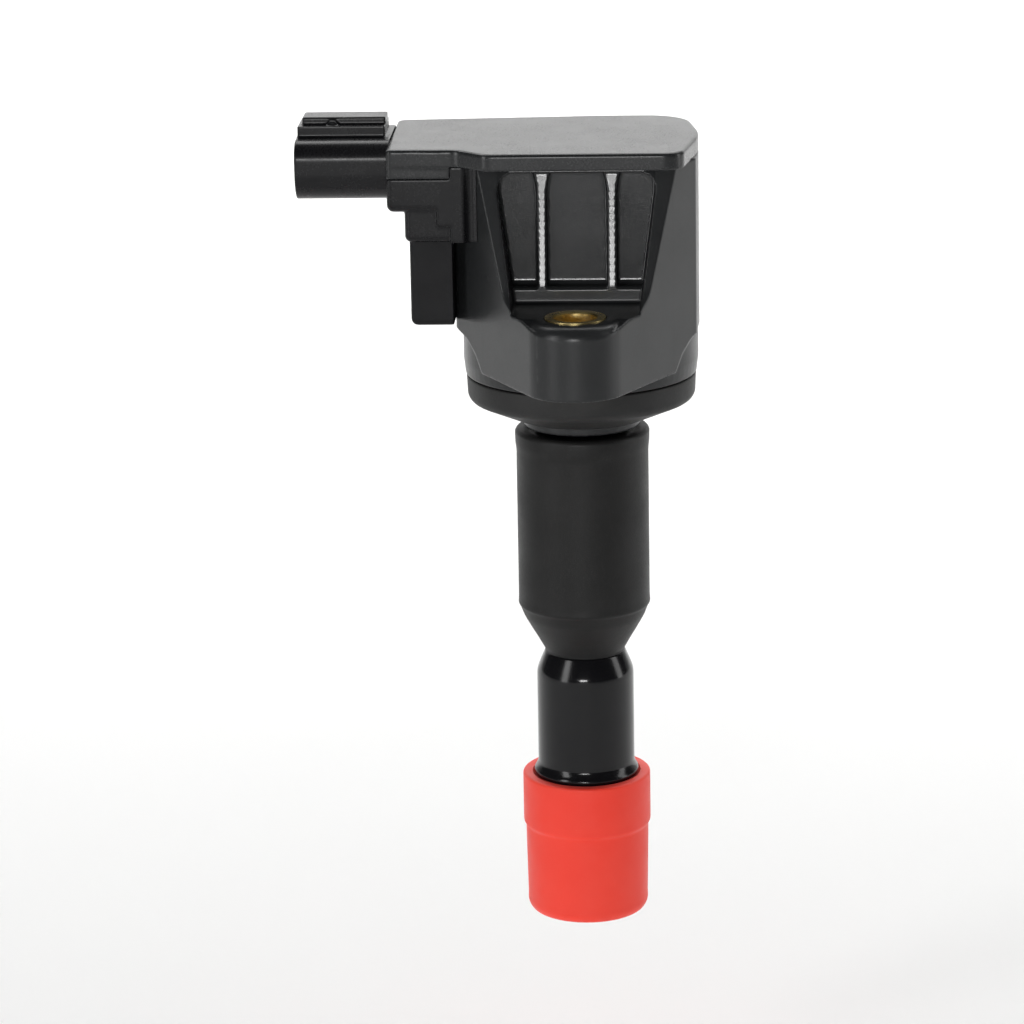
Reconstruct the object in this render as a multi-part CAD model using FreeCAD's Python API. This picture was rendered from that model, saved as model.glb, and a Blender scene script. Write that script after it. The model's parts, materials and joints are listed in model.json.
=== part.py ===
import FreeCAD, Part

import math
import os

V = FreeCAD.Vector
UP = V(0, 0, 1)
ALONG_X = V(1, 0, 0)
ALONG_Y = V(0, 1, 0)

# A plug-top ignition coil, in millimetres.  The origin is the centre of the boot's
# mouth, on the axis of the stem.  +Z runs up the stem to the head, the connector
# points along -X and the bolt ear points along -Y.

# Heights along the stem
Z_MOUTH = 0.0
Z_BOOT_TOP = 24.4
Z_WAIST = 45.9
Z_SLEEVE_LIP = 54.0
Z_SLEEVE_TOP = 84.6
Z_SEAL_CONE = 86.8
Z_SEAL_BOTTOM = 90.0
Z_SEAL_TOP = 94.1
Z_EAR_BOTTOM = 96.4
Z_BODY_BOTTOM = 101.0
Z_EAR_FLOOR = 108.4
Z_POCKET_ROOF = 129.5
Z_BLOCK_SEAM = 128.7
Z_COVER_BOTTOM = 130.7
Z_COVER_TOP = 133.5

# Boot and stem
BOOT_R = 10.3
BOOT_COLLAR_R = 10.8
BOOT_COLLAR_H = 9.2
PLUG_BORE_R = 5.1
TUBE_R = 8.14
TUBE_END_Z = 12.4
TUBE_SOCKET_R = 7.3
TUBE_CLEAR_R = 5.6
TUBE_CLEAR_TOP = 27.0
TUBE_WAIST_R = 6.1
TUBE_CORE_R = 7.4
TUBE_TOP_Z = 98.0
SLEEVE_R = 11.0
SLEEVE_WAIST_R = 6.7
FIT = 0.05

# High-voltage path in the stem
GUIDE_R = 3.3
CONTACT_LIP_Z = 28.2
CONTACT_COLLAR_H = 2.4
CONTACT_R = 2.5
CONTACT_TIP_Z = 22.6
SPRING_R = 2.3
SPRING_WIRE_R = 0.4
SPRING_TURNS = 12
SPRING_TOP_Z = 62.0
RESISTOR_R = 2.6
RESISTOR_L = 14.0
HV_TERMINAL_R = 1.6
HV_TERMINAL_TOP = 101.6

# Flange, seal and ear
FLANGE_R = 19.4
FLANGE_NECK_R = 19.1
SPIGOT_R = 15.0
NECK_R = 9.7
SEAL_R = 19.0
SEAL_DRAFT = 0.2
SEAL_CONE_R = 11.3
NOSE_R = 8.3
BUSH_Y = -23.8
BUSH_R = 4.3
BUSH_COLLAR_R = 4.9
BUSH_COLLAR_H = 1.5
BUSH_BORE_R = 3.5
BUSH_PROUD = 0.15
EAR_EDGE = 2.2

# Head
HEAD_RIGHT = 20.0
HEAD_BOW_Y = 1.5
HEAD_BOW_R = 30.0
HEAD_LEFT = -20.4
HEAD_FRONT = -16.8
HEAD_FRONT_X = 17.0
HEAD_BACK = 18.8
HEAD_BACK_X = 17.2
HEAD_BACK_CORNER = 7.5
BACK_TURN_X = 3.0
BACK_LEFT_Y = 16.3
GUSSET_X = 16.6
GUSSET_Y = -10.5
EAR_ROOT_Y = -5.6
WALL_LEAN = math.radians(28.3)
FOOT_RUN_OUT = 0.28
STRIP_TOP_Y = -11.3
STRIP_FOOT_Y = -19.9
STRIP_FOOT_Z = 109.8
STRIP_BLEND = 5.0
POCKET_X_LOW = 10.3
POCKET_X_HIGH = 13.1
POCKET_CORNER = 2.6
POCKET_RISER_Y = -12.8
POCKET_FOOT_Y = -10.4
POCKET_BACK_Y = -9.0
POCKET_LEDGE = 2.6
POCKET_BLEND = 0.8
RIB_X = 5.67
RIB_W = 1.5
RIB_FLARE_W = 2.9
RIB_FLARE_H = 4.4
CAVITY_LEFT = -17.6
CAVITY_RIGHT = 17.3
CAVITY_FRONT = -6.2
CAVITY_BACK = 16.8
CAVITY_LEFT_BACK = 15.5

# Connector side
BLOCK_LEFT = -30.7
BLOCK_FRONT = -12.1
BLOCK_BOTTOM = 123.2
COLUMN_X = -18.2
STEP_LEFT = -27.9
STEP_FRONT = -11.7
STEP_BOTTOM = 118.2
COVER_LEFT = -27.4
COVER_FRONT = -9.0
COVER_BACK = 14.8
COVER_BOTTOM = 103.8
TAB_X = (-22.6, -20.4)
TAB_Z = 120.9
CON_MOUTH_X = -46.2
CON_Y = 4.0
CON_W = 19.0
CON_BOTTOM = 123.6
CON_TOP = 133.6
CON_WALL = 1.4
CON_DEPTH = 13.0
RAILS = ((9.0, 1.8, 0.2), (5.4, 3.0, 0.9))   # width, height above the shell, set back
PIN_PITCH = 4.4
PIN_T = 0.64
PIN_W = 1.5
PIN_TIP_X = -40.6

# Transformer, its axis along X
COIL_Y = 5.3
COIL_Z = 113.6
CORE_L = 25.0
CORE_SIDE = 6.4
MAGNET_T = 1.2
OUTER_CORE_X = 17.0
OUTER_LEG = 2.8
OUTER_TOP_Z = 129.0
YOKE_H = 3.6
BOBBIN_L = 19.0
LEAD_SPREAD = 4.2


def box(x0, x1, y0, y1, z0, z1):
    return Part.makeBox(x1 - x0, y1 - y0, z1 - z0, V(x0, y0, z0))


def rod(r, z0, z1, x=0.0, y=0.0):
    return Part.makeCylinder(r, z1 - z0, V(x, y, z0), UP)


def rod_x(r, x0, x1, y, z):
    return Part.makeCylinder(r, x1 - x0, V(x0, y, z), ALONG_X)


def revolve(profile):
    """Turn a closed (r, z) outline about the stem axis."""
    points = [V(r, 0, z) for r, z in profile]
    face = Part.Face(Part.makePolygon(points + points[:1]))
    return face.revolve(V(0, 0, 0), UP, 360)


def join(shapes):
    shapes = list(shapes)
    return shapes[0].multiFuse(shapes[1:]).removeSplitter() if len(shapes) > 1 else shapes[0]


def rounded_wire(corners, place):
    """A closed outline with a tangent arc at each corner (u, v, radius)."""
    edges = []
    ends = []
    for i, (u, v, r) in enumerate(corners):
        here = V(u, v, 0)
        back = V(*corners[i - 1][:2], 0) - here
        ahead = V(*corners[(i + 1) % len(corners)][:2], 0) - here
        if not r:
            ends.append((here, here, here))
            continue
        back.normalize()
        ahead.normalize()
        half = back.getAngle(ahead) / 2
        run = r / math.tan(half)
        middle = (back + ahead).normalize() * (r / math.sin(half) - r)
        ends.append((here + back * run, here + middle, here + ahead * run))
    for i, (start, middle, end) in enumerate(ends):
        if start != end:
            edges.append(Part.Arc(place(start), place(middle), place(end)).toShape())
        edges.append(Part.makeLine(place(end), place(ends[(i + 1) % len(ends)][0])))
    return Part.Wire(edges)


def plan(corners, z0, z1):
    """A prism that stands on a rounded (x, y) outline."""
    wire = rounded_wire(corners, lambda p: V(p.x, p.y, z0))
    return Part.Face(wire).extrude(V(0, 0, z1 - z0))


def side_prism(corners, x0, x1):
    """A prism along X with a rounded (y, z) outline."""
    wire = rounded_wire(corners, lambda p: V(x0, p.x, p.y))
    return Part.Face(wire).extrude(V(x1 - x0, 0, 0))


def front_prism(corners, y0, y1):
    """A prism along Y with a rounded (x, z) outline."""
    wire = rounded_wire(corners, lambda p: V(p.x, y0, p.y))
    return Part.Face(wire).extrude(V(0, y1 - y0, 0))


def mirrored(shape):
    return shape.mirror(V(0, 0, 0), ALONG_X)


# Outer walls of the head

def wall_point(y):
    """Where a side wall of the ear, carried on straight, stands at depth y."""
    return GUSSET_X + (y - GUSSET_Y) * math.tan(WALL_LEAN)


def nose_tangent():
    return V(NOSE_R * math.cos(WALL_LEAN), BUSH_Y - NOSE_R * math.sin(WALL_LEAN), 0)


def ear_prism(z0, z1, back=EAR_ROOT_Y):
    """The nose arc and the two straight walls that open out towards the body."""
    tangent = nose_tangent()
    wide = wall_point(back)
    corners = [V(wide, back, z0), V(tangent.x, tangent.y, z0), V(0, BUSH_Y - NOSE_R, z0),
               V(-tangent.x, tangent.y, z0), V(-wide, back, z0)]
    edges = [Part.makeLine(corners[0], corners[1]), Part.Arc(*corners[1:4]).toShape(),
             Part.makeLine(corners[3], corners[4]), Part.makeLine(corners[4], corners[0])]
    return Part.Face(Part.Wire(edges)).extrude(V(0, 0, z1 - z0))


def right_and_back():
    """The bowed right side and the back, which lid and body share."""
    return [(HEAD_RIGHT, HEAD_BOW_Y, HEAD_BOW_R), (HEAD_BACK_X, HEAD_BACK, HEAD_BACK_CORNER), (BACK_TURN_X, HEAD_BACK, 0)]


def back_at(x):
    """Depth of the slightly slanted back at a place left of its turn."""
    return HEAD_BACK + (x - BACK_TURN_X) * (HEAD_BACK - BACK_LEFT_Y) / (BACK_TURN_X - BLOCK_LEFT)


def body_prism(z0, z1):
    """The body behind the ear, as wide as the ear's walls where they meet it."""
    y_left = GUSSET_Y + (-HEAD_LEFT - GUSSET_X) / math.tan(WALL_LEAN)
    bow = (HEAD_RIGHT - HEAD_FRONT_X) / (HEAD_BOW_Y - HEAD_FRONT)
    lean = math.tan(WALL_LEAN)
    y_right = (HEAD_FRONT_X - bow * HEAD_FRONT - GUSSET_X + lean * GUSSET_Y) / (lean - bow)
    return plan([(wall_point(y_right), y_right, 7.0)] + right_and_back()
                + [(HEAD_LEFT, back_at(HEAD_LEFT), 1.5), (HEAD_LEFT, y_left, 3.0),
                   (-wall_point(GUSSET_Y - 2), GUSSET_Y - 2, 0), (wall_point(GUSSET_Y - 2), GUSSET_Y - 2, 0)],
                z0, z1)


def skirt_relief():
    """The lower edge of the body rises from the ear to both sides."""
    low = Z_EAR_BOTTOM
    right = front_prism([(15.7, low - 6, 0), (15.7, low - 0.2, 0), (16.9, low + 2.8, 2.0),
                         (18.4, low + 4.8, 3.0), (21.0, low + 6.1, 0), (26, low + 7, 0), (26, low - 6, 0)],
                        -40, 40)
    return right.fuse(mirrored(right))


def pocket():
    """Bolt access above the ear: open to the front, roofed, and narrower at the floor."""
    opening = front_prism([(-POCKET_X_LOW, Z_EAR_FLOOR, 0), (POCKET_X_LOW, Z_EAR_FLOOR, 0),
                           (POCKET_X_HIGH, Z_POCKET_ROOF, POCKET_CORNER),
                           (-POCKET_X_HIGH, Z_POCKET_ROOF, POCKET_CORNER)], -40, 0)
    ledge_z = Z_EAR_FLOOR + POCKET_LEDGE
    profile = side_prism([(-40, Z_EAR_FLOOR, 0), (POCKET_RISER_Y, Z_EAR_FLOOR, 0),
                          (POCKET_RISER_Y, ledge_z, 0.6), (POCKET_FOOT_Y, ledge_z, POCKET_BLEND),
                          (POCKET_BACK_Y, Z_COVER_BOTTOM, 0), (-40, Z_COVER_BOTTOM, 0)], -20, 20)
    return opening.common(profile)


def front_relief(floor_rise):
    """What lies in front of the slanted gussets; it runs out downwards over the ear."""
    run_out = (-40 - STRIP_FOOT_Y) * floor_rise
    return side_prism([(STRIP_TOP_Y, Z_COVER_BOTTOM + 1, 0), (STRIP_TOP_Y, Z_COVER_BOTTOM, 0),
                       (STRIP_FOOT_Y, STRIP_FOOT_Z, STRIP_BLEND), (-40, STRIP_FOOT_Z + run_out, 0),
                       (-40, Z_COVER_BOTTOM + 1, 0)], -26, 26)


def rib(x):
    """A polished rib on the pocket's back wall, wider where it meets the cover."""
    half = RIB_W / 2
    wide = RIB_FLARE_W / 2
    z_flare = Z_POCKET_ROOF - RIB_FLARE_H
    z_mid = z_flare + RIB_FLARE_H / 2
    run = [V(x - half, -20, Z_EAR_FLOOR), V(x + half, -20, Z_EAR_FLOOR), V(x + half, -20, z_flare),
           V(x + half + 0.16, -20, z_mid), V(x + wide, -20, Z_POCKET_ROOF),
           V(x - wide, -20, Z_POCKET_ROOF), V(x - half - 0.16, -20, z_mid), V(x - half, -20, z_flare)]
    edges = [Part.makeLine(run[0], run[1]), Part.makeLine(run[1], run[2]),
             Part.Arc(*run[2:5]).toShape(), Part.makeLine(run[4], run[5]),
             Part.Arc(*run[5:8]).toShape(), Part.makeLine(run[7], run[0])]
    width = Part.Face(Part.Wire(edges)).extrude(V(0, 20, 0))
    profile = side_prism([(POCKET_RISER_Y, Z_EAR_FLOOR, 0), (POCKET_RISER_Y, Z_EAR_FLOOR + POCKET_LEDGE, 1.5),
                          (-9.6, Z_POCKET_ROOF, 0), (-7.4, Z_POCKET_ROOF, 0),
                          (-7.4, Z_EAR_FLOOR, 0)], x - 3, x + 3)
    return width.common(profile)


def flange():
    """The round flange that the seal hangs under, with its spigot and neck."""
    return revolve([(0, Z_SLEEVE_TOP + 0.6), (NECK_R, Z_SLEEVE_TOP + 0.6), (NECK_R, Z_SEAL_CONE),
                    (NECK_R + 1.3, Z_SEAL_CONE), (NECK_R + 1.3, Z_SEAL_CONE + 1.2),
                    (SPIGOT_R, Z_SEAL_BOTTOM + 0.6), (SPIGOT_R, Z_SEAL_TOP + 0.2),
                    (FLANGE_NECK_R, Z_SEAL_TOP + 0.2), (FLANGE_R, Z_EAR_BOTTOM + 0.4),
                    (FLANGE_R, Z_BODY_BOTTOM + 1.0), (0, Z_BODY_BOTTOM + 1.0)])


def cavity_outline(gap):
    """Plan of the head's cavity, or of what fits in it with a gap all round."""
    return [(CAVITY_LEFT + gap, CAVITY_FRONT + gap, 4 - gap),
            (CAVITY_RIGHT - 1.4 - gap, CAVITY_FRONT + gap, 3 - gap),
            (CAVITY_RIGHT - gap, 4, 0), (CAVITY_RIGHT - 0.6 - gap, CAVITY_BACK - gap, 3 - gap),
            (BACK_TURN_X, CAVITY_BACK - gap, 0), (CAVITY_LEFT + gap, CAVITY_LEFT_BACK - gap, 2 - gap)]


def head_cavity():
    """The space for the transformer, open to the cover and to the igniter's side."""
    main = plan(cavity_outline(0), Z_BODY_BOTTOM + 1.4, Z_COVER_BOTTOM + 1)
    window = box(HEAD_LEFT - 1, CAVITY_LEFT + 1, 0.0, COVER_BACK - 2, COVER_BOTTOM + 4, Z_COVER_BOTTOM + 1)
    return main.fuse(window)


def rounded_ear():
    """The ear below the pocket's floor, with its upper edge rounded."""
    ear = ear_prism(Z_EAR_BOTTOM, Z_EAR_FLOOR)
    upper = [e for e in ear.Edges if abs(e.CenterOfMass.z - Z_EAR_FLOOR) < 0.01
             and e.CenterOfMass.y < GUSSET_Y - 1]
    return ear.makeFillet(EAR_EDGE, upper)


def housing():
    body = body_prism(Z_EAR_BOTTOM, Z_COVER_BOTTOM).cut(front_relief(0))
    gussets = ear_prism(Z_EAR_BOTTOM, Z_COVER_BOTTOM).cut(front_relief(FOOT_RUN_OUT))
    shell = join([body, gussets, rounded_ear()]).cut(skirt_relief())
    shell = shell.cut(pocket())
    shell = join([shell, rib(-RIB_X), rib(RIB_X), flange()])
    shell = shell.cut(head_cavity())
    shell = shell.cut(rod(TUBE_CORE_R, Z_SLEEVE_TOP - 1, TUBE_TOP_Z))
    shell = shell.cut(rod(HV_TERMINAL_R, TUBE_TOP_Z - 1, Z_BODY_BOTTOM + 2))
    shell = shell.cut(rod(BUSH_R, Z_EAR_BOTTOM - 1, Z_EAR_FLOOR + 1, y=BUSH_Y))
    shell = shell.cut(rod(BUSH_COLLAR_R, Z_EAR_FLOOR - BUSH_COLLAR_H, Z_EAR_FLOOR + 1, y=BUSH_Y))
    return shell.removeSplitter()


def cover_outline():
    return [(BLOCK_LEFT, BLOCK_FRONT, 0.8), (-19.2, BLOCK_FRONT - 0.4, 3.0), (-14.6, HEAD_FRONT, 3.0),
            (HEAD_FRONT_X, HEAD_FRONT, 3.6)] + right_and_back() + [(BLOCK_LEFT, BACK_LEFT_Y, 1.5)]


def block_outline():
    """Plan of the connector block, flush with the lid's edge."""
    return [(BLOCK_LEFT, BLOCK_FRONT, 0.8), (HEAD_LEFT, BLOCK_FRONT, 0),
            (HEAD_LEFT, back_at(HEAD_LEFT), 0), (BLOCK_LEFT, BACK_LEFT_Y, 1.5)]


def connector_root(z1):
    """The part of the block behind the connector shell, which the lid leaves out."""
    half = CON_W / 2 + 0.6
    return box(BLOCK_LEFT, BLOCK_LEFT + 2.6, CON_Y - half, CON_Y + half, Z_BLOCK_SEAM - 0.5, z1)


def top_cover():
    """The lid over head and connector block; its front edge roofs the pocket."""
    lid = plan(cover_outline(), Z_COVER_BOTTOM, Z_COVER_TOP)
    rim = [e for e in lid.Edges if abs(e.CenterOfMass.z - Z_COVER_TOP) < 0.01]
    lid = lid.makeFillet(0.5, rim)
    skirt = plan(block_outline(), Z_BLOCK_SEAM, Z_COVER_BOTTOM).cut(connector_root(Z_COVER_BOTTOM))
    skirt = skirt.cut(box(BLOCK_LEFT + 1.8, HEAD_LEFT, BLOCK_FRONT + 1.8, BACK_LEFT_Y - 1.8,
                          Z_BLOCK_SEAM, Z_COVER_BOTTOM))
    plug = plan(cavity_outline(0.1), Z_COVER_BOTTOM - 0.9, Z_COVER_BOTTOM)
    return join([lid, skirt, plug])


# Connector side

def connector_section(grow, x0, x1, top=CON_TOP):
    """The rounded section of the connector shell, grown outward by `grow`."""
    y0 = CON_Y - CON_W / 2 - grow
    y1 = CON_Y + CON_W / 2 + grow
    low = 4.6 + grow
    high = 3.2 + grow
    return side_prism([(y0, CON_BOTTOM - grow, low), (y1, CON_BOTTOM - grow, low),
                       (y1, top + grow, high), (y0, top + grow, high)], x0, x1)


def column():
    """The hollowed upright that carries the block over to the ear's gusset."""
    edge = wall_point(GUSSET_Y - 1.2)
    corners = [(HEAD_LEFT, BLOCK_FRONT, 0), (COLUMN_X, BLOCK_FRONT, 0.6),
               (COLUMN_X + 0.8, BLOCK_FRONT + 1.3, 1.2),
               (-edge, GUSSET_Y - 1.2, 0), (-edge, GUSSET_Y + 2, 0), (HEAD_LEFT, GUSSET_Y + 4, 0)]
    return plan(corners, STEP_BOTTOM, Z_COVER_BOTTOM)


def connector_housing(head):
    """The connector shell, its two lock rails and the block it stands on."""
    block = plan(block_outline(), BLOCK_BOTTOM, Z_BLOCK_SEAM)
    low = [e for e in block.Edges if abs(e.CenterOfMass.z - BLOCK_BOTTOM) < 0.01
           and e.CenterOfMass.x < HEAD_LEFT - 1]
    block = block.makeFillet(1.2, low)
    step = plan([(STEP_LEFT, STEP_FRONT, 1.0), (HEAD_LEFT, STEP_FRONT, 0), (HEAD_LEFT, COVER_BACK + 1, 0),
                 (STEP_LEFT, COVER_BACK + 1, 1.0)], STEP_BOTTOM, BLOCK_BOTTOM + 2)
    low = [e for e in step.Edges if abs(e.CenterOfMass.z - STEP_BOTTOM) < 0.01
           and e.CenterOfMass.x < HEAD_LEFT - 1]
    step = step.makeFillet(1.0, low)
    tab = box(*TAB_X, BLOCK_FRONT, STEP_FRONT + 1, TAB_Z, BLOCK_BOTTOM + 2)
    shell = connector_section(0, CON_MOUTH_X, BLOCK_LEFT + 0.5)
    shell = shell.cut(box(BLOCK_LEFT, HEAD_LEFT, CON_Y - CON_W, CON_Y + CON_W, Z_COVER_BOTTOM, CON_TOP + 1))
    parts = [block, step, tab, shell, connector_root(Z_COVER_BOTTOM)]
    for width, height, back in RAILS:
        parts.append(box(CON_MOUTH_X + back, BLOCK_LEFT - 0.9, CON_Y - width / 2, CON_Y + width / 2,
                         CON_TOP - 1, CON_TOP + height))
    lock_x = CON_MOUTH_X + 5.9
    parts.append(Part.makeCylinder(1.1, 3.0, V(lock_x, CON_Y - 3.6, CON_TOP + 1.4), ALONG_Y))
    body = join(parts)
    body = body.cut(connector_section(-CON_WALL, CON_MOUTH_X - 1, CON_MOUTH_X + CON_DEPTH))
    body = body.cut(box(CON_MOUTH_X - 1, CON_MOUTH_X + CON_DEPTH - 2, CON_Y - 2.0, CON_Y + 2.0,
                        CON_TOP - 2, CON_TOP + 1.2))
    body = body.cut(box(STEP_LEFT + 1.6, HEAD_LEFT + 0.1, STEP_FRONT + 3, COVER_BACK - 1,
                        STEP_BOTTOM - 0.1, Z_COVER_BOTTOM - 1.4))
    body = body.fuse(column().cut(head)).removeSplitter()
    for pin in terminals():
        body = body.cut(pin)
    return body


def terminals():
    """Three bent blades: a tip in the connector, a foot over the igniter."""
    z = (CON_BOTTOM + CON_TOP) / 2
    foot_x = -24.4
    for i in (-1, 0, 1):
        y = CON_Y + i * PIN_PITCH
        blade = box(PIN_TIP_X, foot_x, y - PIN_W / 2, y + PIN_W / 2, z - PIN_T / 2, z + PIN_T / 2)
        tip = [e for e in blade.Edges if abs(e.CenterOfMass.x - PIN_TIP_X) < 0.01]
        blade = blade.makeChamfer(0.2, tip)
        foot = box(foot_x - PIN_T, foot_x, y - PIN_W / 2, y + PIN_W / 2, STEP_BOTTOM - 1.2, z)
        yield blade.fuse(foot).removeSplitter()


def igniter_cover():
    """The dark box below the connector block, over the igniter."""
    outer = side_prism([(COVER_FRONT, COVER_BOTTOM, 0.9), (COVER_BACK, COVER_BOTTOM, 0.9),
                        (COVER_BACK, STEP_BOTTOM, 0), (COVER_FRONT, STEP_BOTTOM, 0)],
                       COVER_LEFT, HEAD_LEFT)
    low = [e for e in outer.Edges if abs(e.CenterOfMass.x - COVER_LEFT) < 0.01
           and e.CenterOfMass.z < STEP_BOTTOM - 1]
    outer = outer.makeFillet(1.1, low)
    inner = box(COVER_LEFT + 1.4, HEAD_LEFT + 1, -1.5, COVER_BACK - 1.6,
                COVER_BOTTOM + 1.4, STEP_BOTTOM + 1)
    return outer.cut(inner)


def igniter_heatsink():
    return box(-25.9, -24.9, 0.5, 12.7, COVER_BOTTOM + 2, STEP_BOTTOM - 1.6)


def igniter_module():
    return box(-24.9, -21.6, 0.7, 11.7, COVER_BOTTOM + 3, STEP_BOTTOM - 1.9)


# Transformer

def centre_core():
    return box(-CORE_L / 2, CORE_L / 2, COIL_Y - CORE_SIDE / 2, COIL_Y + CORE_SIDE / 2,
               COIL_Z - CORE_SIDE / 2, COIL_Z + CORE_SIDE / 2)


def core_magnet():
    return box(CORE_L / 2, CORE_L / 2 + MAGNET_T, COIL_Y - CORE_SIDE / 2, COIL_Y + CORE_SIDE / 2,
               COIL_Z - CORE_SIDE / 2, COIL_Z + CORE_SIDE / 2)


def outer_core():
    """A laminated frame that closes the magnetic path over the windings."""
    depth = (COIL_Y - CORE_SIDE / 2, COIL_Y + CORE_SIDE / 2)
    left = -CORE_L / 2 - OUTER_LEG
    right = CORE_L / 2 + MAGNET_T + OUTER_LEG
    frame = front_prism([(left, COIL_Z - CORE_SIDE / 2, 0), (right, COIL_Z - CORE_SIDE / 2, 0),
                         (right, OUTER_TOP_Z, 1.5), (left, OUTER_TOP_Z, 1.5)], *depth)
    gap = box(-CORE_L / 2, CORE_L / 2 + MAGNET_T, *depth, COIL_Z - CORE_SIDE, OUTER_TOP_Z - YOKE_H)
    return frame.cut(gap)


def core_buffer():
    """A soft pad between the yoke and the potting, which lets the core grow."""
    return box(-CORE_L / 2, CORE_L / 2, COIL_Y - CORE_SIDE / 2, COIL_Y + CORE_SIDE / 2,
               OUTER_TOP_Z, OUTER_TOP_Z + 0.5)


def spool(inner, barrel, flange_r, length, cheeks):
    """A bobbin along the coil's axis; `cheeks` are evenly spaced discs."""
    x0 = -length / 2
    shape = rod_x(barrel, x0, -x0, COIL_Y, COIL_Z)
    thick = 0.7
    for i in range(cheeks):
        x = x0 + i * (length - thick) / (cheeks - 1)
        shape = shape.fuse(rod_x(flange_r, x, x + thick, COIL_Y, COIL_Z))
    return shape.cut(inner).removeSplitter()


def winding(r0, r1, bobbin, length):
    ring = rod_x(r1, -length / 2, length / 2, COIL_Y, COIL_Z)
    return ring.cut(rod_x(r0, -length / 2, length / 2, COIL_Y, COIL_Z)).cut(bobbin)


def coil_set():
    core_hole = centre_core()
    primary = spool(core_hole, 5.1, 7.0, BOBBIN_L, 2)
    hollow = rod_x(7.1, -BOBBIN_L, BOBBIN_L, COIL_Y, COIL_Z)
    secondary = spool(hollow, 7.8, 10.6, BOBBIN_L, 6)
    return {
        "primary_bobbin": primary,
        "primary_winding": winding(5.1, 6.8, primary, BOBBIN_L),
        "secondary_bobbin": secondary,
        "secondary_winding": winding(7.8, 10.0, secondary, BOBBIN_L),
    }


def hv_diode():
    return rod_x(1.2, -3.0, 3.0, -3.6, 105.2)


def hv_lead():
    """From the low end of the secondary winding to the stud over the stem."""
    r = 0.4
    drop = rod(r, 102.4, 105.2, x=-4.4, y=-3.6)
    across = rod_x(r, -4.4, -3.0, -3.6, 105.2)
    return drop.fuse(across).fuse(rod_x(r, 3.0, 4.4, -3.6, 105.2)).removeSplitter()


def primary_leads():
    """Two wires from the igniter to the primary bobbin."""
    wires = []
    for y in (COIL_Y - LEAD_SPREAD, COIL_Y + LEAD_SPREAD):
        wires.append(rod_x(0.45, -21.6, -BOBBIN_L / 2, y, COIL_Z - 2.6))
    return Part.makeCompound(wires)


def potting(inside):
    """Epoxy that fills what the transformer leaves of the cavity."""
    fill = plan(cavity_outline(0), Z_BODY_BOTTOM + 1.4, Z_COVER_BOTTOM - 0.9)
    for shape in inside:
        fill = fill.cut(shape)
    return max(fill.Solids, key=lambda s: s.Volume)


# Ear, seal and stem

def bolt_bush():
    """The brass bush with a collar at its top; it stands a little proud of the ear."""
    top = Z_EAR_FLOOR + BUSH_PROUD
    outer = rod(BUSH_R, Z_EAR_BOTTOM - 0.1, top, y=BUSH_Y)
    outer = outer.fuse(rod(BUSH_COLLAR_R, Z_EAR_FLOOR - BUSH_COLLAR_H, top, y=BUSH_Y)).removeSplitter()
    bush = outer.cut(rod(BUSH_BORE_R, Z_EAR_BOTTOM - 1, Z_EAR_FLOOR + 1, y=BUSH_Y))
    inner = [e for e in bush.Edges if hasattr(e.Curve, "Radius") and abs(e.Curve.Radius - BUSH_BORE_R) < 0.01
             and abs(e.Length - 2 * math.pi * BUSH_BORE_R) < 0.01]
    return bush.makeChamfer(0.25, inner)


def seal_ring():
    """The rubber ring that closes the plug well, under the flange."""
    return revolve([(SPIGOT_R, Z_SEAL_TOP), (SPIGOT_R, Z_SEAL_BOTTOM + 0.6),
                    (NECK_R + 1.3, Z_SEAL_CONE + 1.2), (NECK_R + 1.3, Z_SEAL_CONE),
                    (SEAL_CONE_R, Z_SEAL_CONE), (SEAL_R - SEAL_DRAFT - 0.6, Z_SEAL_BOTTOM - 0.1),
                    (SEAL_R - SEAL_DRAFT, Z_SEAL_BOTTOM + 0.4), (SEAL_R, Z_SEAL_TOP - 0.3),
                    (SEAL_R - 0.3, Z_SEAL_TOP)])


def stem_sleeve():
    """The matte sleeve: it tapers to the waist and has a small lip at its foot."""
    lip = Z_SLEEVE_LIP
    return revolve([(TUBE_CORE_R, Z_SLEEVE_TOP), (SLEEVE_R - 0.1, Z_SLEEVE_TOP),
                    (SLEEVE_R + 0.2, Z_SLEEVE_TOP - 0.4), (SLEEVE_R + 0.15, Z_SLEEVE_TOP - 2.4),
                    (SLEEVE_R, Z_SLEEVE_TOP - 3.6), (SLEEVE_R, lip + 1.4),
                    (SLEEVE_R + 0.08, lip + 0.4), (SLEEVE_R - 0.2, lip),
                    (SLEEVE_R - 0.85, lip - 1.7), (SLEEVE_WAIST_R + 2.2, lip - 3.9),
                    (SLEEVE_WAIST_R + 0.95, lip - 6.0), (SLEEVE_WAIST_R, Z_WAIST + 0.4),
                    (SLEEVE_WAIST_R, Z_WAIST), (TUBE_WAIST_R, Z_WAIST), (TUBE_WAIST_R, lip - 5.0),
                    (TUBE_CORE_R, lip - 2.0)])


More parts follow.
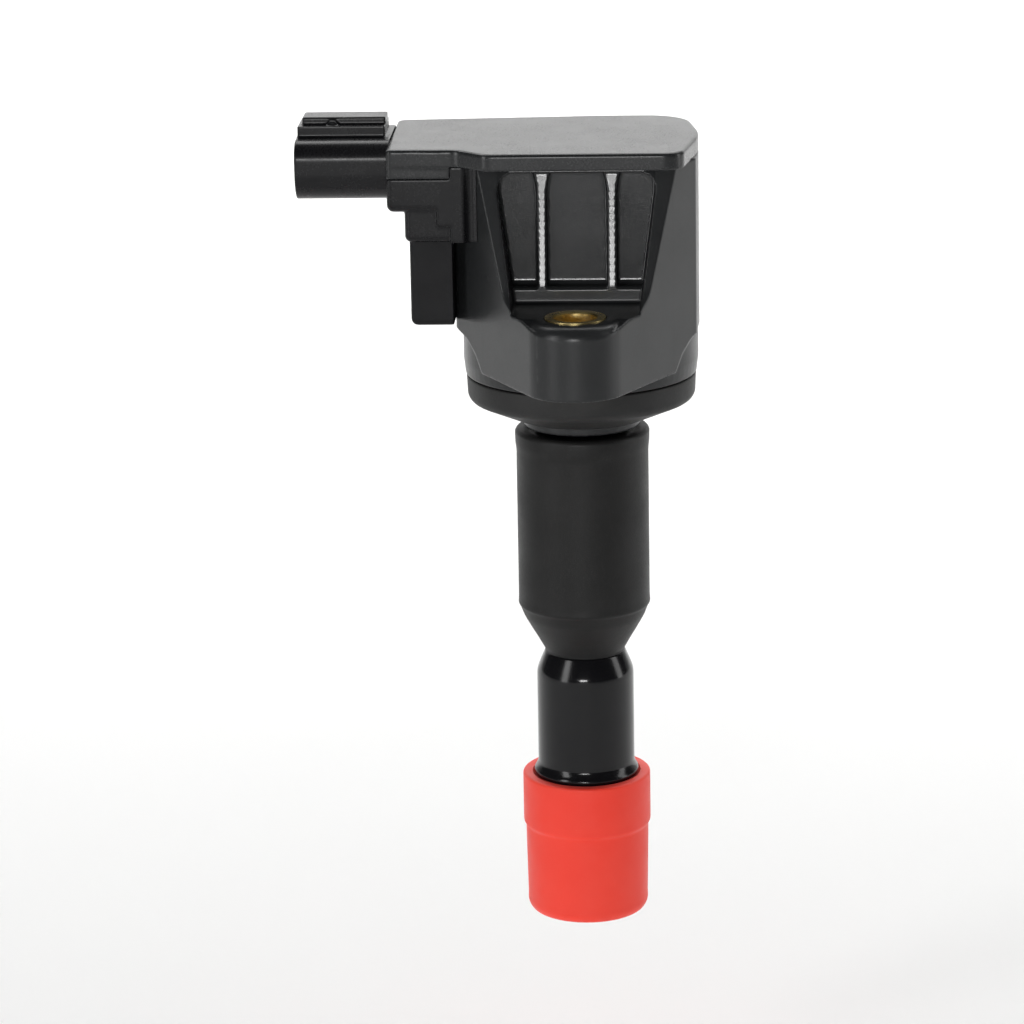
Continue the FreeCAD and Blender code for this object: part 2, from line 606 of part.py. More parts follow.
def lower_tube():
    """The glossy insulating tube, from the boot up into the housing."""
    return revolve([(TUBE_CLEAR_R, TUBE_END_Z), (TUBE_SOCKET_R, TUBE_END_Z),
                    (TUBE_SOCKET_R, Z_BOOT_TOP - 0.3), (8.5, Z_BOOT_TOP - 0.3),
                    (8.85, Z_BOOT_TOP + 0.1), (8.85, Z_BOOT_TOP + 0.6), (8.5, Z_BOOT_TOP + 1.1),
                    (TUBE_R, Z_BOOT_TOP + 1.8), (TUBE_R, Z_WAIST - 3.5), (TUBE_R - 0.5, Z_WAIST - 2.2),
                    (TUBE_WAIST_R + 0.6, Z_WAIST), (TUBE_WAIST_R, Z_WAIST),
                    (TUBE_WAIST_R, Z_SLEEVE_LIP - 5.0), (TUBE_CORE_R, Z_SLEEVE_LIP - 2.0),
                    (TUBE_CORE_R, TUBE_TOP_Z), (HV_TERMINAL_R, TUBE_TOP_Z),
                    (HV_TERMINAL_R, SPRING_TOP_Z + RESISTOR_L), (GUIDE_R, SPRING_TOP_Z + RESISTOR_L),
                    (GUIDE_R, CONTACT_LIP_Z), (CONTACT_R + FIT, CONTACT_LIP_Z),
                    (CONTACT_R + FIT, TUBE_CLEAR_TOP), (TUBE_CLEAR_R, TUBE_CLEAR_TOP)])


def plug_boot():
    """The silicone boot: it grips the plug's insulator below and the tube above."""
    z_step = Z_BOOT_TOP - BOOT_COLLAR_H
    socket = TUBE_SOCKET_R + FIT
    return revolve([(PLUG_BORE_R, Z_MOUTH), (BOOT_R - 0.9, Z_MOUTH), (BOOT_R - 0.35, Z_MOUTH + 0.5),
                    (BOOT_R, Z_MOUTH + 1.6), (BOOT_R - 0.08, Z_MOUTH + 2.6), (BOOT_R + 0.1, z_step - 2.2),
                    (BOOT_R + 0.1, z_step), (BOOT_COLLAR_R, z_step + 0.9),
                    (BOOT_COLLAR_R, Z_BOOT_TOP - 0.4), (BOOT_COLLAR_R - 0.4, Z_BOOT_TOP),
                    (9.1, Z_BOOT_TOP), (9.1, Z_BOOT_TOP - 0.35), (socket, Z_BOOT_TOP - 0.35),
                    (socket, TUBE_END_Z - FIT), (PLUG_BORE_R, TUBE_END_Z - FIT)])


def contact_cap():
    """The brass contact; its collar rests on the lip inside the tube."""
    collar_top = CONTACT_LIP_Z + FIT + CONTACT_COLLAR_H
    return revolve([(0, CONTACT_TIP_Z), (CONTACT_R - 0.5, CONTACT_TIP_Z), (CONTACT_R, CONTACT_TIP_Z + 0.5),
                    (CONTACT_R, CONTACT_LIP_Z + FIT), (GUIDE_R - FIT, CONTACT_LIP_Z + FIT),
                    (GUIDE_R - FIT, collar_top), (CONTACT_R - 0.9, collar_top),
                    (CONTACT_R - 0.9, collar_top + 1.2), (0, collar_top + 1.2)])


def contact_spring():
    """A compression spring between the resistor and the contact."""
    bottom = CONTACT_LIP_Z + FIT + CONTACT_COLLAR_H + SPRING_WIRE_R
    height = SPRING_TOP_Z - SPRING_WIRE_R - bottom
    path = Part.makeHelix(height / SPRING_TURNS, height, SPRING_R)
    path.translate(V(0, 0, bottom))
    start = Part.makeCircle(SPRING_WIRE_R, V(SPRING_R, 0, bottom), ALONG_Y)
    return Part.Wire(path.Edges).makePipeShell([Part.Wire(start)], True, True)


def suppression_resistor():
    r = RESISTOR_R
    z0 = SPRING_TOP_Z
    z1 = SPRING_TOP_Z + RESISTOR_L
    return revolve([(0, z0), (r + 0.4, z0), (r + 0.4, z0 + 2), (r, z0 + 2), (r, z1 - 2),
                    (r + 0.4, z1 - 2), (r + 0.4, z1), (0, z1)])


def hv_terminal():
    return rod(HV_TERMINAL_R, SPRING_TOP_Z + RESISTOR_L, HV_TERMINAL_TOP)


def build():
    head = housing()
    nodes = {
        "housing": head,
        "top_cover": top_cover(),
        "connector_housing": connector_housing(head),
        "igniter_cover": igniter_cover(),
        "igniter_heatsink": igniter_heatsink(),
        "igniter_module": igniter_module(),
        "centre_core": centre_core(),
        "core_magnet": core_magnet(),
        "outer_core": outer_core(),
        "core_buffer": core_buffer(),
        "hv_diode": hv_diode(),
        "hv_lead": hv_lead(),
        "primary_leads": primary_leads(),
        "bolt_bush": bolt_bush(),
        "seal_ring": seal_ring(),
        "stem_sleeve": stem_sleeve(),
        "lower_tube": lower_tube(),
        "plug_boot": plug_boot(),
        "contact_cap": contact_cap(),
        "contact_spring": contact_spring(),
        "suppression_resistor": suppression_resistor(),
        "hv_terminal": hv_terminal(),
    }
    for name, pin in zip(("terminal_ground", "terminal_signal", "terminal_power"), terminals()):
        nodes[name] = pin
    nodes.update(coil_set())
    inside = [nodes[n] for n in ("centre_core", "core_magnet", "outer_core", "core_buffer", "hv_diode",
                                 "hv_lead", "primary_leads", "primary_bobbin", "primary_winding",
                                 "secondary_bobbin", "secondary_winding")]
    nodes["potting"] = potting(inside)
    return nodes


os.makedirs("parts", exist_ok=True)
for node, shape in build().items():
    assert shape.isValid(), node
    shape.exportStep("parts/%s.step" % node)
    size = shape.BoundBox
    print("%-22s solids %d  volume %9.1f  x %.1f..%.1f  y %.1f..%.1f  z %.1f..%.1f" % (
        node, len(shape.Solids), shape.Volume, size.XMin, size.XMax, size.YMin, size.YMax,
        size.ZMin, size.ZMax))
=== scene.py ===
import json
import math

import bmesh
import bpy
from mathutils import Matrix, Vector


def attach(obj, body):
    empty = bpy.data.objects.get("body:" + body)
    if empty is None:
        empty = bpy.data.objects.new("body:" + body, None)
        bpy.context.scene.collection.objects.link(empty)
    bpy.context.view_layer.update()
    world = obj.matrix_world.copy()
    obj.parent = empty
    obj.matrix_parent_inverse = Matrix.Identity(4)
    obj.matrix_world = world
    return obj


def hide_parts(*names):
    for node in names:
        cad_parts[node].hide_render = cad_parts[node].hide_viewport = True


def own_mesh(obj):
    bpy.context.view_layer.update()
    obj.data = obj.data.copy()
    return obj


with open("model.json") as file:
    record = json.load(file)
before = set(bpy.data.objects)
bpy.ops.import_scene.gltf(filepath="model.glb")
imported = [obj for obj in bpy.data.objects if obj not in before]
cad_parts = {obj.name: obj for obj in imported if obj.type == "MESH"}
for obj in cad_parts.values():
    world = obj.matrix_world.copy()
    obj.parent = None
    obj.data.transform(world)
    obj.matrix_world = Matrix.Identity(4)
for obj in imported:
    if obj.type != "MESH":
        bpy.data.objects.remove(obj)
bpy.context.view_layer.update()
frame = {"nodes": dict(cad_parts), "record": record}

MM = 0.001
NODES = frame["nodes"]

# The camera looks down a little at the front of the coil, from far away
AIM = Vector((-0.01212, 0.00343, 0.06882))
DISTANCE = 0.7067
PITCH = math.radians(15.385)
YAW = math.radians(-3.1)
ROLL = math.radians(-1.036)
LENS_MM = 147.66
SENSOR_MM = 36.0

# The floor and the backdrop that it bends up into
FLOOR_Z = -0.034     # the boot drops 30 mm when it is pulled off
FLOOR_HALF_WIDTH = 4.0
FLOOR_FRONT_Y = -4.0
BACKDROP_Y = 1.5
BACKDROP_BEND = 1.2
BACKDROP_HEIGHT = 3.5
BACKDROP_STEPS = 24

# Area lights: name, place, size, watts and the point each one faces
LIGHTS = (
    ("overhead", (0.0, 0.75, 1.3), (1.8, 0.6), 16.0, (0.0, 0.2, 0.0)),
    ("back_panel", (0.0, 1.35, 0.52), (2.6, 0.55), 1.6, (0.0, 0.0, 0.12)),
    ("left_box", (-0.85, -0.75, 0.35), (0.3, 0.8), 4.0, (0.0, 0.0, 0.07)),
    ("right_box", (1.05, 0.05, 0.35), (0.3, 0.8), 2.4, (0.0, 0.0, 0.07)),
    ("front_strip", (-0.08, -1.5, 0.27), (0.42, 0.12), 6.5, (0.0, 0.0, 0.12)),
    ("backdrop_wash", (0.0, 0.8, 1.6), (3.0, 0.6), 42.0, (0.0, 2.6, 0.6)),
)
WORLD_STRENGTH = 0.06

# Where the polish of the bolt pocket starts or ends, in mm: each pair is the width of a soft edge
POLISH_SIDE = (12.4, 12.9)
POLISH_FRONT = (-13.3, -13.1)
POLISH_BACK = (-8.6, -8.3)
POLISH_FLOOR = (110.2, 110.6)
POLISH_ROOF = (129.7, 130.1)
POLISHED_ROUGHNESS = 0.45     # as a share of the roughness around the pocket

# Boot, tube, sleeve and seal, in mm from the stem's axis and from the boot's mouth
PLUG_BORE_R = 5.1
BOOT_TOP = 24.4
BOOT_COLLAR_R = 10.8
BOOT_SOCKET_R = 7.35
BOOT_SOCKET_Z = 12.35
TUBE_R = 8.14
TUBE_END_R = 7.3
TUBE_END_Z = 12.4
TUBE_MOUTH_R = 5.6
TUBE_MOUTH_Z = 27.0
TUBE_TOP = 98.0
CORE_R = 7.4
CORE_Z = 52.0
WELL_R = 3.3
WELL_Z = 28.2
WELL_TOP = 76.0
STUD_R = 1.6
WAIST_Z = 45.9
WAIST_IN_R = 6.1
WAIST_IN_Z = 49.0
SLEEVE_R = 11.0
SLEEVE_TOP = 84.6
SEAL_R = 19.0
SEAL_SEAT_R = 15.0
SEAL_TOP = 94.1
SEAL_FOOT = 86.8

# Closed outlines: distance from the axis, height, and the radius of that corner
BOOT = [(PLUG_BORE_R, 0.0, 0.3), (9.5, 0.0, 0.6), (10.25, 1.2, 0.9), (10.2, 2.6, 0.6), (10.4, 13.4, 0.8),
        (10.4, 15.1, 0.5), (BOOT_COLLAR_R, 15.7, 0.4), (BOOT_COLLAR_R, BOOT_TOP, 0.5), (9.1, BOOT_TOP, 0.25),
        (9.1, 24.05, 0), (BOOT_SOCKET_R, 24.05, 0), (BOOT_SOCKET_R, BOOT_SOCKET_Z, 0),
        (PLUG_BORE_R, BOOT_SOCKET_Z, 0)]

TUBE = [(TUBE_MOUTH_R, TUBE_END_Z, 0), (TUBE_END_R, TUBE_END_Z, 0.3), (TUBE_END_R, 24.1, 0),
        (8.5, 24.1, 0.2), (8.85, 24.5, 0.25), (8.85, 25.0, 0.25), (8.45, 25.6, 0.3), (TUBE_R, 26.3, 0.6),
        (TUBE_R, 42.4, 1.2), (7.6, 43.9, 0.9), (6.72, WAIST_Z, 0.3), (WAIST_IN_R, WAIST_Z, 0),
        (WAIST_IN_R, WAIST_IN_Z, 0), (CORE_R, CORE_Z, 0), (CORE_R, TUBE_TOP, 0), (STUD_R, TUBE_TOP, 0),
        (STUD_R, WELL_TOP, 0), (WELL_R, WELL_TOP, 0), (WELL_R, WELL_Z, 0), (2.55, WELL_Z, 0),
        (2.55, TUBE_MOUTH_Z, 0), (TUBE_MOUTH_R, TUBE_MOUTH_Z, 0)]

SLEEVE = [(CORE_R, SLEEVE_TOP, 0), (10.8, SLEEVE_TOP, 0.3), (11.2, 84.1, 0.3), (11.17, 82.2, 0.5),
          (SLEEVE_R, 81.0, 0.8), (SLEEVE_R, 55.4, 0.6), (11.08, 54.4, 0.3), (10.75, 53.9, 0.4),
          (10.15, 52.3, 0.6), (8.9, 50.1, 0.8), (7.65, 48.0, 0.8), (6.72, 46.3, 0.4), (6.7, WAIST_Z, 0),
          (WAIST_IN_R, WAIST_Z, 0), (WAIST_IN_R, WAIST_IN_Z, 0), (CORE_R, CORE_Z, 0)]

SEAL = [(SEAL_SEAT_R, SEAL_TOP, 0), (SEAL_SEAT_R, 90.6, 0), (11.0, 88.0, 0), (11.0, SEAL_FOOT, 0),
        (11.3, SEAL_FOOT, 0.3), (18.4, 89.9, 0.8), (18.85, 90.7, 0.6), (SEAL_R, SEAL_TOP, 0.35)]

CORNER_STEPS = 5
LATHE_STEPS = 160

# The contact's spring, in mm
SPRING_R = 2.3
SPRING_WIRE_R = 0.4
SPRING_FOOT = 30.65
SPRING_TOP = 62.0
SPRING_TURNS = 12
STEPS_PER_TURN = 40
WIRE_SIDES = 12

# Moulded parts whose edges are softened: node, voxel size in mm, smoothing passes
MOULDED_PARTS = (("housing", 0.2, 3), ("top_cover", 0.2, 3), ("connector_housing", 0.16, 5),
                 ("igniter_cover", 0.2, 3))


# ---------------------------------------------------------------- camera, stage and light

def add_camera():
    """Set up the camera from its aim, distance and three angles."""
    forward = Vector((math.sin(YAW) * math.cos(PITCH), math.cos(YAW) * math.cos(PITCH), -math.sin(PITCH)))
    right = Vector((math.cos(YAW), -math.sin(YAW), 0.0))
    up = right.cross(forward)
    turned_right = right * math.cos(ROLL) + up * math.sin(ROLL)
    turned_up = up * math.cos(ROLL) - right * math.sin(ROLL)
    data = bpy.data.cameras.new("camera")
    data.lens = LENS_MM
    data.sensor_width = SENSOR_MM
    data.clip_start = 0.01
    data.clip_end = 50.0
    camera = bpy.data.objects.new("camera", data)
    axes = Matrix((turned_right, turned_up, -forward)).transposed()
    camera.matrix_world = Matrix.Translation(AIM - forward * DISTANCE) @ axes.to_4x4()
    bpy.context.scene.collection.objects.link(camera)
    bpy.context.scene.camera = camera


def add_light(name, place, size, watts, target):
    """Add one rectangular light, unseen by the camera, that faces its target."""
    data = bpy.data.lights.new(name, "AREA")
    data.shape = "RECTANGLE"
    data.size, data.size_y = size
    data.energy = watts
    lamp = bpy.data.objects.new(name, data)
    place = Vector(place)
    lamp.location = place
    lamp.rotation_euler = (Vector(target) - place).to_track_quat("-Z", "Y").to_euler()
    lamp.visible_camera = False
    bpy.context.scene.collection.objects.link(lamp)


def add_stage():
    """A pale floor that curves up into a backdrop."""
    line = [(FLOOR_FRONT_Y, FLOOR_Z), (0.0, FLOOR_Z), (BACKDROP_Y, FLOOR_Z)]
    for i in range(1, BACKDROP_STEPS + 1):
        a = i / BACKDROP_STEPS * math.pi / 2
        line.append((BACKDROP_Y + BACKDROP_BEND * math.sin(a),
                     FLOOR_Z + BACKDROP_BEND - BACKDROP_BEND * math.cos(a)))
    line.append((BACKDROP_Y + BACKDROP_BEND, FLOOR_Z + BACKDROP_HEIGHT))
    mesh = bpy.data.meshes.new("floor")
    verts = [(x, y, z) for y, z in line for x in (-FLOOR_HALF_WIDTH, FLOOR_HALF_WIDTH)]
    faces = [(2 * i, 2 * i + 1, 2 * i + 3, 2 * i + 2) for i in range(len(line) - 1)]
    mesh.from_pydata(verts, [], faces)
    for polygon in mesh.polygons:
        polygon.use_smooth = True
    floor = bpy.data.objects.new("floor", mesh)
    bpy.context.scene.collection.objects.link(floor)
    mesh.materials.append(paper())


def light_studio():
    """A dim even world and the area lights."""
    world = bpy.data.worlds.new("studio")
    bpy.context.scene.world = world
    world.use_nodes = True
    background = world.node_tree.nodes["Background"]
    background.inputs["Color"].default_value = (1.0, 1.0, 1.0, 1.0)
    background.inputs["Strength"].default_value = WORLD_STRENGTH
    for light in LIGHTS:
        add_light(*light)
    view = bpy.context.scene.view_settings
    view.view_transform = "Standard"
    view.look = "None"


# ---------------------------------------------------------------- materials

class Shader:
    """A small helper that adds nodes to one material and links them by name."""

    def __init__(self, name):
        self.material = bpy.data.materials.new(name)
        self.material.use_nodes = True
        self.tree = self.material.node_tree
        self.body = self.tree.nodes["Principled BSDF"]
        self.space = self.add("ShaderNodeTexCoord").outputs["Object"]

    def link(self, source, target):
        self.tree.links.new(source, target)

    def feed(self, value, socket):
        """Link a socket to an input, or set the input to a number."""
        if isinstance(value, bpy.types.NodeSocket):
            self.link(value, socket)
        else:
            socket.default_value = value

    def add(self, kind, **inputs):
        node = self.tree.nodes.new(kind)
        for key, value in inputs.items():
            self.feed(value, node.inputs[key.replace("_", " ")])
        return node

    def stretch(self, scale):
        """The object's own space, scaled unevenly."""
        node = self.tree.nodes.new("ShaderNodeMapping")
        self.link(self.space, node.inputs["Vector"])
        node.inputs["Scale"].default_value = scale
        return node.outputs["Vector"]

    def noise(self, scale, detail=4.0, rough=0.6, vector=None):
        """Noise with features of about 1 / scale metres."""
        node = self.add("ShaderNodeTexNoise", Scale=scale, Detail=detail, Roughness=rough)
        self.link(vector or self.space, node.inputs["Vector"])
        return node.outputs["Fac"]

    def ramp(self, source, low, high, a=0.0, b=1.0):
        """Takes source from low..high to a..b, and holds it there outside."""
        node = self.tree.nodes.new("ShaderNodeMapRange")
        self.link(source, node.inputs["Value"])
        for key, value in (("From Min", low), ("From Max", high), ("To Min", a), ("To Max", b)):
            node.inputs[key].default_value = value
        return node.outputs["Result"]

    def mix(self, factor, a, b):
        """Blend two colours, each a socket or three numbers."""
        node = self.tree.nodes.new("ShaderNodeMix")
        node.data_type = "RGBA"
        self.link(factor, node.inputs[0])
        for value, socket in ((a, node.inputs[6]), (b, node.inputs[7])):
            self.feed((*value, 1.0) if isinstance(value, tuple) else value, socket)
        return node.outputs[2]

    def math(self, operation, a, b):
        node = self.tree.nodes.new("ShaderNodeMath")
        node.operation = operation
        self.feed(a, node.inputs[0])
        self.feed(b, node.inputs[1])
        return node.outputs[0]

    def bump(self, height, distance, strength=1.0, under=None):
        node = self.add("ShaderNodeBump", Height=height, Distance=distance, Strength=strength)
        if under:
            self.link(under, node.inputs["Normal"])
        return node.outputs["Normal"]

    def edges(self, low, high):
        """1 on convex edges of a dense mesh, 0 on its faces."""
        return self.ramp(self.add("ShaderNodeNewGeometry").outputs["Pointiness"], low, high)

    def finish(self, color=None, roughness=None, normal=None, **constants):
        """Wire up the surface and return the finished material."""
        for source, name in ((color, "Base Color"), (roughness, "Roughness"), (normal, "Normal")):
            if source is not None:
                self.link(source, self.body.inputs[name])
        for name, value in constants.items():
            self.body.inputs[name.replace("_", " ")].default_value = value
        return self.material


def paper():
    """The matte, almost white floor."""
    s = Shader("paper")
    color = s.mix(s.ramp(s.noise(3.0), 0.35, 0.65), (0.95, 0.95, 0.945), (0.97, 0.97, 0.965))
    return s.finish(color, s.ramp(s.noise(220.0), 0.3, 0.7, 0.75, 0.9),
                    s.bump(s.noise(900.0), 0.0002, 0.3), Specular_IOR_Level=0.2)


def polished_faces(s):
    """1 inside the bolt pocket, whose faces and ribs the mould polishes."""
    axes = s.add("ShaderNodeSeparateXYZ")
    s.link(s.space, axes.inputs[0])
    across = s.math("ABSOLUTE", axes.outputs[0], 0.0)
    edges = ((axes.outputs[1], POLISH_FRONT, 0.0, 1.0), (axes.outputs[1], POLISH_BACK, 1.0, 0.0),
             (axes.outputs[2], POLISH_FLOOR, 0.0, 1.0), (axes.outputs[2], POLISH_ROOF, 1.0, 0.0))
    polish = s.ramp(across, POLISH_SIDE[0] * MM, POLISH_SIDE[1] * MM, 1.0, 0.0)
    for axis, (start, end), before, after in edges:
        polish = s.math("MULTIPLY", polish, s.ramp(axis, start * MM, end * MM, before, after))
    return polish


def moulded(name, dark, pale, rough, grain=5200.0, depth=0.00002, wear=0.0, ior_level=0.5, coat=0.0,
            polished=False):
    """Moulded plastic: fine grain, cloudy colour, dust in patches and paler edges."""
    s = Shader(name)
    cloud = s.ramp(s.noise(90.0, 5.0), 0.3, 0.7)
    speck = s.ramp(s.noise(grain * 0.6, 2.0), 0.62, 0.78)
    color = s.mix(cloud, dark, pale)
    color = s.mix(s.math("MULTIPLY", speck, 0.12), color, tuple(min(1.0, 2.2 * c + 0.01) for c in pale))
    if wear:
        worn = s.math("MULTIPLY", s.edges(0.56, 0.68), s.ramp(s.noise(700.0), 0.35, 0.7, 0.0, wear))
        color = s.mix(worn, color, tuple(min(1.0, 2.6 * c + 0.03) for c in pale))
    low, high = rough
    gloss = s.math("ADD", s.ramp(s.noise(160.0, 6.0), 0.3, 0.7, low, high),
                   s.ramp(s.noise(2600.0, 2.0), 0.4, 0.7, 0.0, 0.05))
    if polished:
        gloss = s.math("MULTIPLY", gloss, s.ramp(polished_faces(s), 0.0, 1.0, 1.0, POLISHED_ROUGHNESS))
    normal = s.bump(s.noise(grain, 3.0, 0.55), depth)
    normal = s.bump(s.noise(45.0, 2.0), 0.00004, 1.0, under=normal)
    return s.finish(color, gloss, normal, Specular_IOR_Level=ior_level, Coat_Weight=coat,
                    Coat_Roughness=0.08)


def silicone():
    """Red silicone rubber: slightly cloudy, dusty, with a soft sheen."""
    s = Shader("red_silicone")
    cloud = s.ramp(s.noise(60.0, 6.0, 0.65), 0.3, 0.7)
    color = s.mix(cloud, (0.95, 0.048, 0.026), (0.98, 0.064, 0.038))
    dust = s.ramp(s.noise(2400.0, 3.0), 0.64, 0.76, 0.0, 0.12)
    color = s.mix(dust, color, (0.95, 0.20, 0.15))
    rough = s.ramp(s.noise(300.0, 5.0), 0.3, 0.7, 0.42, 0.56)
    normal = s.bump(s.noise(3000.0, 3.0), 0.00002, 0.8)
    normal = s.bump(s.noise(120.0, 3.0), 0.00008, 0.7, under=normal)
    return s.finish(color, rough, normal, Subsurface_Weight=0.12, Subsurface_Scale=0.0015,
                    Sheen_Weight=0.06, Sheen_Roughness=0.45, Specular_IOR_Level=0.35)


def machined(name, dark, pale, rough=(0.18, 0.32), stretch=(1.0, 1.0, 14.0), tarnish=0.3):
    """Turned or drawn metal with fine lines across `stretch` and patchy tarnish."""
    s = Shader(name)
    lines = s.noise(1500.0, 4.0, 0.7, s.stretch(stretch))
    patch = s.ramp(s.noise(380.0, 5.0), 0.45, 0.7, 0.0, tarnish)
    color = s.mix(s.ramp(lines, 0.3, 0.7), dark, pale)
    color = s.mix(patch, color, tuple(0.45 * c for c in dark))
    gloss = s.math("ADD", s.ramp(lines, 0.3, 0.7, *rough), s.math("MULTIPLY", patch, 0.5))
    return s.finish(color, gloss, s.bump(lines, 0.00001, 0.7), Metallic=1.0)


def materials():
    """One material for each material slot of the record."""
    grey = ((0.016, 0.017, 0.018), (0.021, 0.022, 0.023))
    return {
        "housing_plastic": moulded("housing_plastic", *grey, (0.27, 0.33), wear=0.25, ior_level=0.36,
                                   depth=0.00001, polished=True),
        "cover_plastic": moulded("cover_plastic", *grey, (0.22, 0.27), wear=0.15, depth=0.000004,
                                 ior_level=0.36),
        "connector_plastic": moulded("connector_plastic", (0.006, 0.006, 0.007), (0.010, 0.010, 0.011),
                                     (0.20, 0.28), depth=0.000004, wear=0.15, ior_level=0.24),
        "dark_plastic": moulded("dark_plastic", (0.006, 0.006, 0.007), (0.009, 0.009, 0.010), (0.45, 0.55),
                                depth=0.00001, ior_level=0.18),
        "sleeve_rubber": moulded("sleeve_rubber", (0.007, 0.007, 0.007), (0.012, 0.012, 0.012),
                                 (0.40, 0.50), grain=3800.0, ior_level=0.26),
        "tube_plastic": moulded("tube_plastic", (0.003, 0.003, 0.004), (0.006, 0.006, 0.007),
                                (0.12, 0.20), depth=0.000004, coat=0.05, ior_level=0.32),
        "seal_rubber": moulded("seal_rubber", (0.012, 0.012, 0.012), (0.018, 0.018, 0.018),
                               (0.46, 0.58), grain=3000.0, ior_level=0.35),
        "boot_silicone": silicone(),
        "brass": machined("brass", (0.80, 0.62, 0.24), (0.95, 0.76, 0.36), (0.24, 0.38), tarnish=0.05),
        "tinned_copper": machined("tinned_copper", (0.55, 0.54, 0.51), (0.74, 0.73, 0.70)),
        "core_steel": machined("core_steel", (0.20, 0.21, 0.23), (0.34, 0.35, 0.37), (0.35, 0.5)),
        "magnet": machined("magnet", (0.08, 0.08, 0.09), (0.14, 0.14, 0.15), (0.4, 0.55)),
        "bobbin_plastic": moulded("bobbin_plastic", (0.48, 0.44, 0.34), (0.60, 0.56, 0.46), (0.4, 0.5)),
        "copper_wire": machined("copper_wire", (0.42, 0.13, 0.05), (0.68, 0.27, 0.12),
                                stretch=(40.0, 1.0, 1.0)),
        "epoxy": moulded("epoxy", (0.012, 0.012, 0.013), (0.02, 0.02, 0.021), (0.12, 0.2), coat=0.5),
        "silicone_pad": moulded("silicone_pad", (0.34, 0.35, 0.37), (0.44, 0.45, 0.47), (0.5, 0.6)),
        "aluminium": machined("aluminium", (0.62, 0.63, 0.65), (0.80, 0.81, 0.83), (0.28, 0.42)),
        "spring_steel": machined("spring_steel", (0.42, 0.42, 0.43), (0.62, 0.62, 0.63)),
        "resistor_body": moulded("resistor_body", (0.55, 0.49, 0.38), (0.68, 0.62, 0.50), (0.2, 0.3)),
    }


# ---------------------------------------------------------------- refined pieces

def make_piece(node, mesh):
    """Put a mesh in the scene as the visible form of a CAD node."""
    for polygon in mesh.polygons:
        polygon.use_smooth = True
    mesh.materials.clear()
    mesh.materials.append(MATERIALS[SLOT_OF[node]])
    piece = bpy.data.objects.new(node + "_form", mesh)
    bpy.context.scene.collection.objects.link(piece)
    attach(piece, BODY_OF[node])
    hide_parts(node)
    return piece


def solid_mesh(name, verts, faces):
    """A closed mesh whose faces all point outward."""
    mesh = bpy.data.meshes.new(name)
    mesh.from_pydata(verts, [], faces)
    form = bmesh.new()
    form.from_mesh(mesh)
    bmesh.ops.recalc_face_normals(form, faces=form.faces)
    form.to_mesh(mesh)
    form.free()
    return mesh


def soften(node, voxel, passes):
    """Round all edges of a moulded part a little: a fine remesh, then smoothing."""
    cad = NODES[node]
    source = bpy.data.objects.new("source", cad.data.copy())
    source.matrix_world = cad.matrix_world.copy()
    bpy.context.scene.collection.objects.link(source)
    remesh = source.modifiers.new("remesh", "REMESH")
    remesh.mode = "VOXEL"
    remesh.voxel_size = voxel * MM
    smooth = source.modifiers.new("smooth", "SMOOTH")
    smooth.factor = 0.5
    smooth.iterations = passes
    graph = bpy.context.evaluated_depsgraph_get()
    mesh = bpy.data.meshes.new_from_object(source.evaluated_get(graph))
    mesh.transform(source.matrix_world)
    bpy.data.objects.remove(source)
    return make_piece(node, mesh)


def rounded(outline):
    """Replace each corner (r, z, radius) of a closed outline by a few points on a curve."""
    points = []
    for i, (r, z, radius) in enumerate(outline):
        here = Vector((r, z))
        if not radius:
            points.append(here)
            continue
        back = Vector(outline[i - 1][:2]) - here
        ahead = Vector(outline[(i + 1) % len(outline)][:2]) - here
        reach = min(radius, 0.45 * back.length, 0.45 * ahead.length)
        start = here + back.normalized() * reach
        end = here + ahead.normalized() * reach
        for k in range(CORNER_STEPS + 1):
            t = k / CORNER_STEPS
            points.append(start * (1 - t) ** 2 + here * 2 * t * (1 - t) + end * t ** 2)
    return points


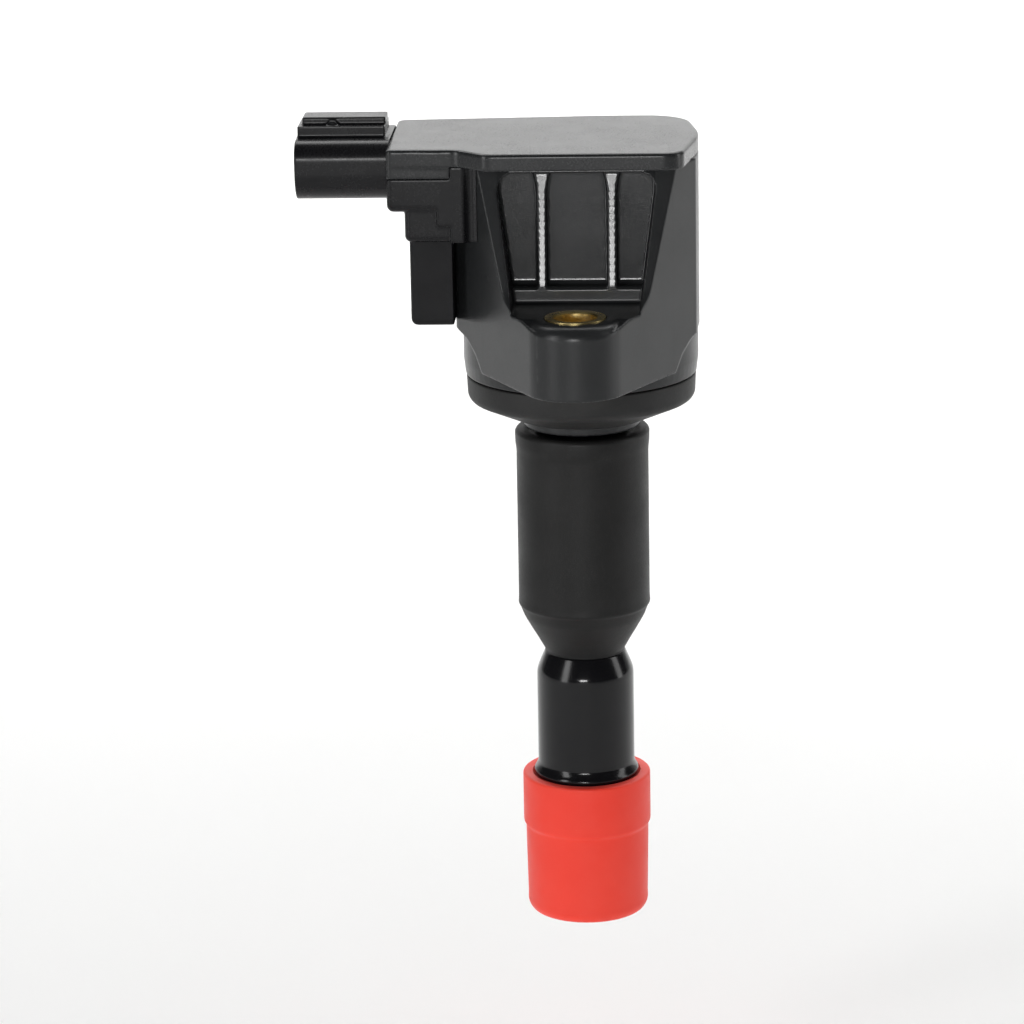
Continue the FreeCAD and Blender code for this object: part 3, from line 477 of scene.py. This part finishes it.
def lathe(node, outline):
    """Turn a closed outline in mm about the stem's axis."""
    line = rounded(outline)
    n = len(line)
    verts = []
    faces = []
    for k in range(LATHE_STEPS):
        a = 2 * math.pi * k / LATHE_STEPS
        verts += [(p.x * math.cos(a) * MM, p.x * math.sin(a) * MM, p.y * MM) for p in line]
        m = (k + 1) % LATHE_STEPS
        faces += [(k * n + i, m * n + i, m * n + (i + 1) % n, k * n + (i + 1) % n) for i in range(n)]
    return make_piece(node, solid_mesh(node + "_form", verts, faces))


def coil_spring(node):
    """The contact's spring, a wire helix."""
    steps = SPRING_TURNS * STEPS_PER_TURN
    length = SPRING_TOP - SPRING_FOOT
    ring = WIRE_SIDES
    verts = []
    for k in range(steps + 1):
        t = k / steps
        a = 2 * math.pi * SPRING_TURNS * t
        out = Vector((math.cos(a), math.sin(a), 0.0))
        centre = out * SPRING_R
        centre.z = SPRING_FOOT + SPRING_WIRE_R + (length - 2 * SPRING_WIRE_R) * t
        for j in range(ring):
            b = 2 * math.pi * j / ring
            rise = Vector((0, 0, SPRING_WIRE_R * math.sin(b)))
            verts.append((centre + out * SPRING_WIRE_R * math.cos(b) + rise) * MM)
    faces = [tuple(range(ring))[::-1], tuple(range(steps * ring, (steps + 1) * ring))]
    for k in range(steps):
        for j in range(ring):
            i = (j + 1) % ring
            faces.append((k * ring + j, k * ring + i, (k + 1) * ring + i, (k + 1) * ring + j))
    piece = make_piece(node, solid_mesh(node + "_form", verts, faces))
    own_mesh(piece)
    return piece


# ---------------------------------------------------------------- the scene

SLOT_OF = {e["node"]: e["material_slot"] for e in frame["record"]["subparts"]}
BODY_OF = {node: body for body, nodes in frame["record"]["behaviour"]["bodies"].items() for node in nodes}

add_camera()
add_stage()
light_studio()
MATERIALS = materials()
for node_name, cad_node in NODES.items():
    cad_node.data.materials.clear()
    cad_node.data.materials.append(MATERIALS[SLOT_OF[node_name]])

for part, voxel_mm, smooth_passes in MOULDED_PARTS:
    soften(part, voxel_mm, smooth_passes)
lathe("plug_boot", BOOT)
lathe("lower_tube", TUBE)
lathe("stem_sleeve", SLEEVE)
lathe("seal_ring", SEAL)
coil_spring("contact_spring")
